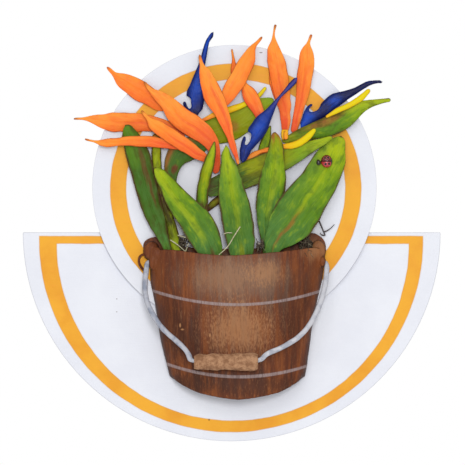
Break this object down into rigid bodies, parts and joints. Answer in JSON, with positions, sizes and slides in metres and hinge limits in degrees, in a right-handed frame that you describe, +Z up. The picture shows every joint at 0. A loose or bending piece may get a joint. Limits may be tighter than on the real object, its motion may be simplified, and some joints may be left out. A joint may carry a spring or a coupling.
{
  "type": "clay relief wall plaque",
  "caption": "Wall plaque of two painted boards with a clay relief pail of bird-of-paradise flowers and leaves; the pail's bail swings.",
  "frame": {"origin": "on the wall, in the middle of the half-round board's back face, on its symmetry axis and half its radius below its flat top edge", "axes": "+Z up, -Y towards the room, +X to the right as seen from the room"},
  "size_m": [0.3, 0.0491, 0.2992],
  "materials": {
    "board_white": "painted board, matt off-white with orange painted bands",
    "sepal_orange": "hand-painted clay, satin orange",
    "tongue_blue": "hand-painted clay, satin blue",
    "lip_yellow": "hand-painted clay, satin yellow",
    "spathe_green": "hand-painted clay, satin green",
    "leaf_green": "hand-painted clay, satin green",
    "pail_brown": "clay painted as brown wood grain, satin",
    "bail_grey": "clay rod painted pale grey",
    "grip_tan": "unglazed tan clay, matt",
    "moss": "dried moss fibres",
    "foam": "dry floral foam",
    "beetle_red": "gloss red paint with black spots",
    "beetle_black": "gloss black paint",
    "hanger_steel": "plated steel"
  },
  "bodies": {
    "plaque": {"ear_left": "pail_brown", "foam_block": "foam", "half_round_board": "board_white", "hanger_nail_left": "hanger_steel", "hanger_nail_right": "hanger_steel", "ladybug_body": "beetle_red", "ladybug_head": "beetle_black", "leaf_behind": "leaf_green", "leaf_centre": "leaf_green", "leaf_far_left": "leaf_green", "leaf_left": "leaf_green", "leaf_middle": "leaf_green", "leaf_right": "leaf_green", "leaf_slim": "leaf_green", "lip_centre": "lip_yellow", "lip_lower": "lip_yellow", "lip_right": "lip_yellow", "lip_stub": "lip_yellow", "moss_centre": "moss", "moss_left": "moss", "moss_right": "moss", "pail_back": "pail_brown", "pail_wall": "pail_brown", "round_board": "board_white", "sawtooth_hanger": "hanger_steel", "sepal_centre_front": "sepal_orange", "sepal_centre_low": "sepal_orange", "sepal_centre_spike": "sepal_orange", "sepal_centre_wide": "sepal_orange", "sepal_left_broad": "sepal_orange", "sepal_left_front": "sepal_orange", "sepal_left_long": "sepal_orange", "sepal_left_low": "sepal_orange", "sepal_left_top": "sepal_orange", "sepal_right_back": "sepal_orange", "sepal_right_outer": "sepal_orange", "sepal_right_stub": "sepal_orange", "sepal_right_tall": "sepal_orange", "spathe_centre": "spathe_green", "spathe_left": "spathe_green", "spathe_lower": "spathe_green", "spathe_right": "spathe_green", "stalk_stub": "leaf_green", "stem_left": "leaf_green", "tongue_centre": "tongue_blue", "tongue_left": "tongue_blue", "tongue_right": "tongue_blue", "twig": "moss"},
    "bail": {"bail": "bail_grey", "grip": "grip_tan"}
  },
  "joints": [
    {"name": "bail_swing", "type": "hinge", "parent": "plaque", "child": "bail", "pos_m": [0.002, -0.0163, 0.054], "axis": [-1, 0, 0], "range_deg": [0, 100]}
  ]
}
